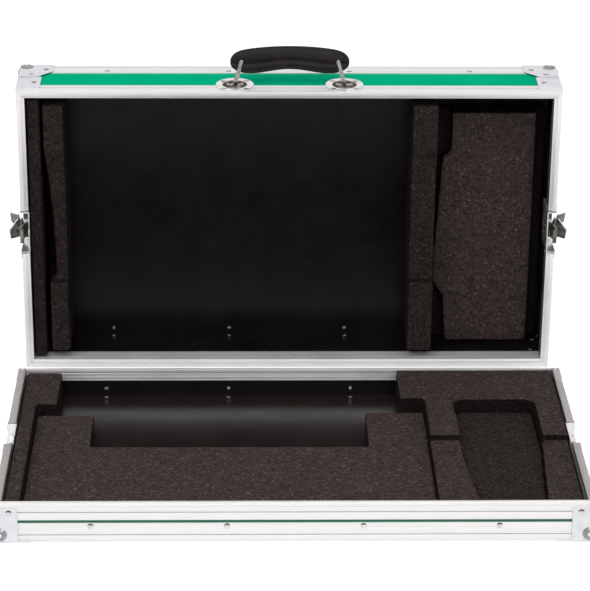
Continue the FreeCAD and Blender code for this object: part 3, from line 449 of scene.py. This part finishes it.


# panels: green outside, darker green on the base's walls as painted shade, black inside, bare ply at the
# edges
outwardOf = {"front": Vector((0, -1, 0)), "rear": Vector((0, 1, 0)), "left": Vector((-1, 0, 0)),
             "right": Vector((1, 0, 0)), "closed": Vector((0, 0, 1))}
closedPanel = {"base": "base_bottom_panel", "lid": "lid_top_panel"}
panelFace = {"flat": 0.9}


def dressPanel(shell, side):
    node = closedPanel[shell] if side == "closed" else f"{shell}_{side}_panel"
    piece = copyOfNode(node, node.replace("_panel", "Board"))
    turn = shellFrames[shell].inverted().to_3x3()
    outward = -outwardOf[side] if (shell, side) == ("base", "closed") else outwardOf[side]
    lining = "floorLaminate" if node == "base_bottom_panel" else "blackLaminate"
    outside = "stripShadeLaminate" if shell == "base" and side != "closed" else "greenLaminate"
    piece.data.materials.clear()
    for material in (laminates[outside], laminates[lining], plyEdge):
        piece.data.materials.append(material)
    for face in piece.data.polygons:
        facing = (turn @ face.normal).dot(outward)
        face.material_index = 0 if facing > panelFace["flat"] else 1 if facing < -panelFace["flat"] else 2
    settle(piece, shell, nodes=(node,))


for shell in ("base", "lid"):
    for side in sides + ("closed",):
        dressPanel(shell, side)
print("boards done")


# aluminium bars: faces narrower than a groove get a darker metal as painted shade
barEdge = {"round": 0.25, "narrow": 1.06, "innerWall": 341.0, "seam": 47.1, "flat": 0.7}
narrowFace = {"lengthToWidth": 4}


def shadeNarrow(piece, material, narrow):
    piece.data.materials.append(material)
    mesh = piece.data
    for face in mesh.polygons:
        corners = [mesh.vertices[index].co for index in face.vertices]
        longest = max((corners[index] - corners[index - 1]).length for index in range(len(corners)))
        if face.area / longest < narrow * mm and longest > narrowFace["lengthToWidth"] * narrow * mm:
            face.material_index = 1


# the side rims get painted shade on the lid's inner wall and on the base's tongue
def shadeInward(piece, shell, side):
    piece.data.materials.append(metals["innerShade"])
    inward = 1 if side == "left" else -1
    for face in piece.data.polygons:
        if shell == "lid":
            dark = face.normal.x * inward > barEdge["flat"] and abs(face.center.x) < barEdge["innerWall"] * mm
        else:
            dark = abs(face.normal.x) > barEdge["flat"] and face.center.z > barEdge["seam"] * mm
        if dark:
            face.material_index = 2


def dressBar(shell, side, kind):
    node = f"{shell}_{side}_{kind}"
    piece = copyOfNode(node, f"{shell}{side.title()}{kind.title()}Bar")
    roundEdges(piece, barEdge["round"])
    smooth(piece)
    along = "X" if side in ("front", "rear") else "Y" if shell == "base" else "Z"
    sideRim = side in ("left", "right") and kind == "rim"
    # the base's side rims take the darker aluminium, which is painted shade
    metal = metals["sideShadeAluminium" if sideRim and shell == "base" else f"drawnAluminium{along}"]
    settle(piece, shell, metal, (node,))
    # faces in the grooves get painted shade
    shadeNarrow(piece, metals["grooveShade"], barEdge["narrow"])
    if sideRim:
        shadeInward(piece, shell, side)


for shell in ("base", "lid"):
    for side in sides:
        for kind in ("rim", "angle"):
            dressBar(shell, side, kind)
piece = copyOfNode("lid_corner_angles", "lidCornerAngleBars")
roundEdges(piece, barEdge["round"])
smooth(piece)
settle(piece, "lid", metals["drawnAluminiumY"], ("lid_corner_angles",))
print("bars done")


# plated and pressed metal: node, then piece, body, material and rounding of the edges
metalPieces = {
    "base_ball_corners": ("baseBallCorners", "base", "zincSteel", 0.3),
    "lid_ball_corners": ("lidBallCorners", "lid", "zincSteel", 0.3),
    "lid_rim_braces": ("lidRimBraces", "lid", "zincSteel", 0.3),
    "handle_dishes": ("handleDishPlates", "lid", "nickelPlate", 0.35),
    # the bracket posts in the bowls share the bowl's painted shade
    "handle_brackets": ("handleBracketPosts", "lid", "bowlShadeSteel", 0.3),
    "handle_loops": ("handleLoopBands", "handle", "loopSteel", 0.35),
}
for side in ("left", "right"):
    end, spindle = side.title(), f"latch_spindle_{side}"
    metalPieces.update({
        f"keeper_dish_{side}": (f"keeperDish{end}Plate", "base", "nickelPlate", 0.3),
        f"latch_dish_{side}": (f"latchDish{end}Plate", "lid", "nickelPlate", 0.3),
        f"hook_pin_{side}": (f"hookPin{end}Bar", "lid", "nickelPlate", 0.3),
        f"latch_hook_{side}": (f"latchHook{end}Plate", f"latch_hook_{side}", "latchSteel", 0.4),
        spindle: (f"latchSpindle{end}Drum", spindle, "latchSteel", 0.5),
        f"wing_pin_{side}": (f"wingPin{end}Bar", spindle, "nickelPlate", 0.3),
    })
    for tip in ("near", "far"):
        wing = f"latch_wing_{side}_{tip}"
        metalPieces[wing] = (f"latchWing{end}{tip.title()}Leaf", wing, "latchSteel", 0.5)
ballEdge = {"flat": 0.97, "bowlDepth": 1.2, "wing": 1.6}


# the balls and the sunk bowls get painted shade: a darker metal than the flat plates around them
def shadeRound(piece, node):
    balls = node.endswith("ball_corners")
    piece.data.materials.append(metals["ballShadeSteel" if balls else "bowlShadeSteel"])
    toShell = (lidFrame if node.startswith("lid") else baseFrame).inverted().to_3x3()
    toHandle = handleFrame.inverted()
    for face in piece.data.polygons:
        if balls:
            darker = max(abs(value) for value in toShell @ face.normal) < ballEdge["flat"]
        else:
            darker = (toHandle @ face.center).z < -ballEdge["bowlDepth"] * mm
        face.material_index = int(darker)


for node, (name, body, metal, edge) in metalPieces.items():
    piece = copyOfNode(node, name)
    roundEdges(piece, edge)
    smooth(piece)
    settle(piece, body, metals[metal], (node,))
    if node.endswith("ball_corners") or node == "handle_dishes":
        shadeRound(piece, node)
    if node.startswith("latch_wing"):
        shadeNarrow(piece, metals["nickelPlate"], ballEdge["wing"])
print("metal pieces done")


# rivets: domed heads outside, rolled tails inside
rivetShape = {"headRadius": 3.7, "headHeight": 0.9, "sides": 20, "rings": 10, "smooth": 50, "endWithin": 0.1,
              "shank": 1.9, "shankDepth": 3.4, "turn": 37}
prongShape = {"radius": 1.15, "spread": 1.85, "broad": 1.3, "flat": 0.75, "sides": 12, "rings": 8}
# painted shade on the heads' upper faces, picked by the upward part of their normal
rivetShading = {"from": 0.12, "to": 0.9, "forward": -0.3}


# head and tail points of each rivet, read from its solid
def rivetEnds(node, toShell):
    piece = copyOfNode(node, "rivetProbe")
    editAll(piece)
    bpy.ops.mesh.separate(type="LOOSE")
    backToObject()
    parts = [other for other in bpy.context.selected_objects if other.name.startswith("rivetProbe")]
    ends = []
    for part in parts:
        points = [toShell @ vertex.co for vertex in part.data.vertices]
        low = Vector([min(point[axis] for point in points) for axis in range(3)])
        high = Vector([max(point[axis] for point in points) for axis in range(3)])
        span, middle = high - low, (low + high) / 2
        axis = max(range(3), key=lambda index: span[index])
        reach, near = [], rivetShape["endWithin"] * mm
        for level in (low[axis], high[axis]):
            offsets = [point - middle for point in points if abs(point[axis] - level) < near]
            for offset in offsets:
                offset[axis] = 0
            reach.append(max(offset.length for offset in offsets))
        lowEnd, highEnd = middle.copy(), middle.copy()
        lowEnd[axis], highEnd[axis] = low[axis], high[axis]
        ends.append((lowEnd, highEnd) if reach[0] > reach[1] else (highEnd, lowEnd))
    for part in parts:
        bpy.data.objects.remove(part)
    return ends


# a dome whose top is the origin
def modelDome():
    v = rivetShape
    pickOnly(bpy.context.scene.collection.objects[0])
    bpy.ops.mesh.primitive_uv_sphere_add(segments=v["sides"], ring_count=v["rings"],
                                         radius=v["headRadius"] * mm)
    dome = bpy.context.object
    editAll(dome)
    bpy.ops.mesh.bisect(plane_co=(0, 0, 0), plane_no=(0, 0, 1), clear_inner=True, use_fill=True)
    bpy.ops.mesh.select_all(action="SELECT")
    bpy.ops.transform.resize(value=(1, 1, v["headHeight"] / v["headRadius"]), center_override=(0, 0, 0))
    bpy.ops.transform.translate(value=(0, 0, -v["headHeight"] * mm))
    backToObject()
    smooth(dome, v["smooth"])
    return dome


# the shank's split end, with a prong curled out to each side; its far end is the origin
def modelTail():
    v, p = rivetShape, prongShape
    prongs = []
    for side in (-1, 1):
        place = (side * p["spread"] * mm, 0, -p["radius"] * p["flat"] * mm)
        bpy.ops.mesh.primitive_uv_sphere_add(segments=p["sides"], ring_count=p["rings"],
                                             radius=p["radius"] * mm, location=place)
        prong = bpy.context.object
        prong.scale = (1, p["broad"], p["flat"])
        bpy.ops.object.transform_apply(location=True, scale=True)
        prongs.append(prong)
    depth = v["shankDepth"]
    bpy.ops.mesh.primitive_cylinder_add(vertices=v["sides"], radius=v["shank"] * mm, depth=depth * mm,
                                        location=(0, 0, -(depth / 2 + p["radius"]) * mm))
    bpy.ops.object.transform_apply(location=True)
    tail = joinAll(prongs + [bpy.context.object], "tail")
    smooth(tail, v["smooth"])
    return tail


def dressRivets(shell):
    shellFrame, shading = shellFrames[shell], rivetShading
    dome, tail = modelDome(), modelTail()
    copies = []
    for count, (head, foot) in enumerate(rivetEnds(f"{shell}_rivets", shellFrame.inverted())):
        away = (head - foot).normalized()
        spin = Matrix.Rotation(math.radians(count * rivetShape["turn"]), 4, "Z")
        for pattern, point, direction in ((dome, head, away), (tail, foot, -away)):
            turn = direction.to_track_quat("Z", "Y").to_matrix().to_4x4() @ spin
            copy = pattern.copy()
            copy.data = pattern.data.copy()
            bpy.context.scene.collection.objects.link(copy)
            moveMesh(copy, shellFrame @ Matrix.Translation(point) @ turn)
            copies.append(copy)
    bpy.data.objects.remove(dome)
    bpy.data.objects.remove(tail)
    heads = joinAll(copies, f"{shell}RivetHeads")
    settle(heads, shell, metals["rivetSteel"], (f"{shell}_rivets",))
    # the heads' upper faces get the dark metal as painted shade
    heads.data.materials.append(metals["rivetShade"])
    for face in heads.data.polygons:
        upper = shading["from"] < face.normal.z < shading["to"] and face.normal.y < shading["forward"]
        face.material_index = int(upper)


for shell in ("base", "lid"):
    dressRivets(shell)
print("rivets done")


# foam: slightly uneven blocks; side faces and the lid's deep floor are darker, as painted shade
foamCut = {"voxel": 2.2, "soften": 0.5, "passes": 1, "waveSize": 14.0, "roughness": 0.5, "level": 0.6,
           "smooth": 60, "flat": 0.7, "deep": 66.0, "deepShadeTone": 0.2}
# the lid pads' lower tones are painted shade inside the lid
foamPads = {
    "foam_left": {"body": "base", "tone": 0.85},
    "foam_bed": {"body": "base", "tone": 1.0},
    "foam_pedal_frame": {"body": "base", "tone": 0.88},
    "foam_pedal_floor": {"body": "base", "tone": 0.50},
    "lid_foam_left_outer": {"body": "lid", "tone": 0.34},
    "lid_foam_left_inner": {"body": "lid", "tone": 0.42},
    "lid_foam_middle": {"body": "lid", "tone": 0.42},
    "lid_foam_right": {"body": "lid", "tone": 0.84},
}


def dressFoam(node, body, tone):
    v = foamCut
    words = node.split("_")
    piece = copyOfNode(node, words[0] + "".join(word.title() for word in words[1:]) + "Pad")
    moveMesh(piece, shellFrames[body].inverted())
    addModifier(piece, "REMESH", mode="VOXEL", voxel_size=v["voxel"] * mm)
    addModifier(piece, "SMOOTH", factor=v["soften"], iterations=v["passes"])
    clouds = bpy.data.textures.new(node + "Cut", "CLOUDS")
    clouds.noise_scale = v["waveSize"] * mm
    addModifier(piece, "DISPLACE", texture=clouds, strength=v["roughness"] * mm, mid_level=v["level"],
                texture_coords="LOCAL")
    smooth(piece, v["smooth"])
    piece.data.materials.clear()
    for material in (foamTone(tone), cutFoam, foamTone(v["deepShadeTone"])):
        piece.data.materials.append(material)
    for face in piece.data.polygons:
        deep = body == "lid" and face.center.z > v["deep"] * mm
        # side faces and the lid's deepest faces get the darker copies: painted shade
        face.material_index = 1 if abs(face.normal.z) < v["flat"] else 2 if deep else 0
    moveMesh(piece, shellFrames[body])
    settle(piece, body, nodes=(node,))


for node, values in foamPads.items():
    dressFoam(node, values["body"], values["tone"])
print("foam done")


# handle grip; its stations run from the middle outwards: along, underside, top, half thickness
gripShape = {"stations": [(0, 22.5, 53.2, 7.8), (14, 21.3, 52.9, 7.8), (26, 19.2, 52.3, 7.8),
                          (38, 17.0, 51.3, 7.8), (50, 15.9, 49.8, 7.8), (60, 16.6, 48.2, 7.7),
                          (67, 19.0, 45.8, 7.3), (72, 22.0, 42.4, 6.3), (75, 25.2, 38.6, 4.6),
                          (76.6, 28.6, 34.6, 2.2)],
             "sides": 48, "smooth": 50, "creaseAt": -0.12, "creaseWide": 0.30, "creaseDeep": 0.42}
# the channels in its flanks that take the loops
gripChannel = {"footAt": 70.6, "topAt": 62.0, "low": 0.5, "high": 33.5, "crown": 38.5, "shoulder": 37.3,
               "half": 3.0, "narrow": 0.7, "core": 1.5, "out": 12.0}


def cutChannels(grip):
    v = gripChannel
    foot, top, half, slim = v["footAt"], v["topAt"], v["half"], v["narrow"] * v["half"]
    outline = [(foot - half, v["low"]), (foot + half, v["low"]), (top + half, v["high"]),
               (top + slim, v["shoulder"]), (top, v["crown"]), (top - slim, v["shoulder"]),
               (top - half, v["high"])]
    for end in (-1, 1):
        for flank in (-1, 1):
            bpy.ops.mesh.primitive_circle_add(vertices=len(outline), radius=1, fill_type="NGON")
            cutter = bpy.context.object
            for vertex, (along, up) in zip(cutter.data.vertices, outline):
                vertex.co = (end * along * mm, flank * v["core"] * mm, up * mm)
            editAll(cutter)
            bpy.ops.mesh.extrude_region_move(TRANSFORM_OT_translate={
                "value": (0, flank * (v["out"] - v["core"]) * mm, 0)})
            mendNormals()
            addModifier(grip, "BOOLEAN", operation="DIFFERENCE", object=cutter)
            bpy.data.objects.remove(cutter)


def modelGrip():
    v = gripShape
    mirrored = [(-along, low, high, half) for along, low, high, half in reversed(v["stations"][1:])]
    bpy.ops.mesh.primitive_circle_add(vertices=v["sides"], radius=1, fill_type="NGON")
    grip = bpy.context.object
    grip.name = "handleGripMoulding"
    for vertex in grip.data.vertices:  # the section lies in YZ, with a shallow crease along each flank
        x, y = vertex.co.x, vertex.co.y
        squeeze = 1 - v["creaseDeep"] * max(0, 1 - abs(y - v["creaseAt"]) / v["creaseWide"])
        vertex.co = (0, x * squeeze, y)
    editAll(grip)
    last = None
    for along, low, high, half in mirrored + v["stations"]:
        middle, tall = (low + high) / 2, (high - low) / 2
        if last is None:
            bpy.ops.transform.resize(value=(1, half * mm, tall * mm), center_override=(0, 0, 0))
            bpy.ops.transform.translate(value=(along * mm, 0, middle * mm))
        else:
            bpy.ops.mesh.extrude_region_move(TRANSFORM_OT_translate={
                "value": ((along - last[0]) * mm, 0, (middle - last[1]) * mm)})
            bpy.ops.transform.resize(value=(1, half / last[3], tall / last[2]),
                                     center_override=(along * mm, 0, middle * mm))
        last = (along, middle, tall, half)
    mendNormals()
    addModifier(grip, "SUBSURF", levels=1, render_levels=1)
    cutChannels(grip)
    smooth(grip, v["smooth"])
    moveMesh(grip, handleFrame)
    settle(grip, "handle", gripPlastic, ("handle_grip",))


modelGrip()
print("grip done")


# floor, light and camera
floorLook = {"size": 14, "place": (0, 2.0, -0.0002), "colour": (0.90, 0.90, 0.90), "rough": 0.9,
             "seenLift": 0.50, "mirrorLift": 0.26}
surround = 0.58
lamps = {
    "keyLamp": {"place": (-0.7, -1.6, 2.6), "target": (0, 0, 0.1), "size": (2.6, 1.6), "power": 36},
    "fillLamp": {"place": (1.0, -2.6, 1.5), "target": (0, 0.1, 0.2), "size": (1.8, 1.6), "power": 14},
}


def buildFloor():
    v = floorLook
    bpy.ops.mesh.primitive_plane_add(size=v["size"], location=v["place"])
    floor = bpy.context.object
    floor.name = "studioFloor"
    bpy.ops.object.transform_apply(location=True)
    material, shader, coords = startMaterial("paleFloor")
    nodes, link = material.node_tree.nodes, material.node_tree.links.new
    shader.inputs["Base Color"].default_value = (*v["colour"], 1)
    shader.inputs["Roughness"].default_value = v["rough"]
    shader.inputs["Specular IOR Level"].default_value = 0
    shader.inputs["Emission Color"].default_value = (1, 1, 1, 1)
    path = nodes.new("ShaderNodeLightPath")
    mirrored = addMath(nodes, "MULTIPLY", v["mirrorLift"])
    lift = addMath(nodes, "MULTIPLY_ADD", v["seenLift"])
    link(path.outputs["Is Glossy Ray"], mirrored.inputs[0])
    link(path.outputs["Is Camera Ray"], lift.inputs[0])
    link(mirrored.outputs[0], lift.inputs[2])
    link(lift.outputs[0], shader.inputs["Emission Strength"])
    floor.data.materials.append(material)


# white where it is seen or mirrored, dimmer as a light
def buildWorld():
    world = bpy.data.worlds.new("paleRoom")
    bpy.context.scene.world = world
    world.use_nodes = True
    nodes, link = world.node_tree.nodes, world.node_tree.links.new
    back = nodes["Background"]
    path = nodes.new("ShaderNodeLightPath")
    bounced = addMath(nodes, "MAXIMUM")
    shown = addMath(nodes, "MAXIMUM")
    link(path.outputs["Is Glossy Ray"], bounced.inputs[0])
    link(path.outputs["Is Transmission Ray"], bounced.inputs[1])
    link(bounced.outputs[0], shown.inputs[0])
    link(path.outputs["Is Camera Ray"], shown.inputs[1])
    level = nodes.new("ShaderNodeMapRange")
    level.inputs["To Min"].default_value = surround
    level.inputs["To Max"].default_value = 1.0
    link(shown.outputs[0], level.inputs["Value"])
    link(level.outputs["Result"], back.inputs["Strength"])
    back.inputs["Color"].default_value = (1, 1, 1, 1)


def addLamp(name, place, target, size, power):
    lamp = bpy.data.lights.new(name, "AREA")
    lamp.shape = "RECTANGLE"
    lamp.size, lamp.size_y = size
    lamp.energy = power
    holder = bpy.data.objects.new(name, lamp)
    bpy.context.scene.collection.objects.link(holder)
    holder.location = place
    holder.rotation_euler = (Vector(target) - Vector(place)).to_track_quat("-Z", "Y").to_euler()


# the photograph's view, solved from the case's corners; the focal length is in the photograph's pixels
cameraPlace = {"x": -63.85, "y": -2890.24, "z": 1384.69, "pitch": 22.496, "yaw": 1.349, "roll": 0.483,
               "focal": 2519.45, "photoWidth": 590, "sensor": 36, "farthest": 60}


def buildCamera():
    v = cameraPlace
    lens = bpy.data.cameras.new("photoCamera")
    lens.sensor_fit = "HORIZONTAL"
    lens.sensor_width = v["sensor"]
    lens.lens = v["focal"] * v["sensor"] / v["photoWidth"]
    lens.clip_end = v["farthest"]
    camera = bpy.data.objects.new("photoCamera", lens)
    bpy.context.scene.collection.objects.link(camera)
    yaw, pitch, roll = (math.radians(v[key]) for key in ("yaw", "pitch", "roll"))
    forward = Vector((math.sin(yaw) * math.cos(pitch), math.cos(yaw) * math.cos(pitch), -math.sin(pitch)))
    level = Vector((math.cos(yaw), -math.sin(yaw), 0))
    right = math.cos(roll) * level + math.sin(roll) * level.cross(forward)
    turn = Matrix((right, right.cross(forward), -forward)).transposed().to_4x4()
    camera.matrix_world = Matrix.Translation((v["x"] * mm, v["y"] * mm, v["z"] * mm)) @ turn
    bpy.context.scene.camera = camera


buildFloor()
buildWorld()
for name, values in lamps.items():
    addLamp(name, **values)
buildCamera()
bpy.context.scene.view_settings.view_transform = "Standard"

for name, node in frame["nodes"].items():
    node.data.materials.clear()
    node.data.materials.append(finishOfNode[name])

print("scene ready")
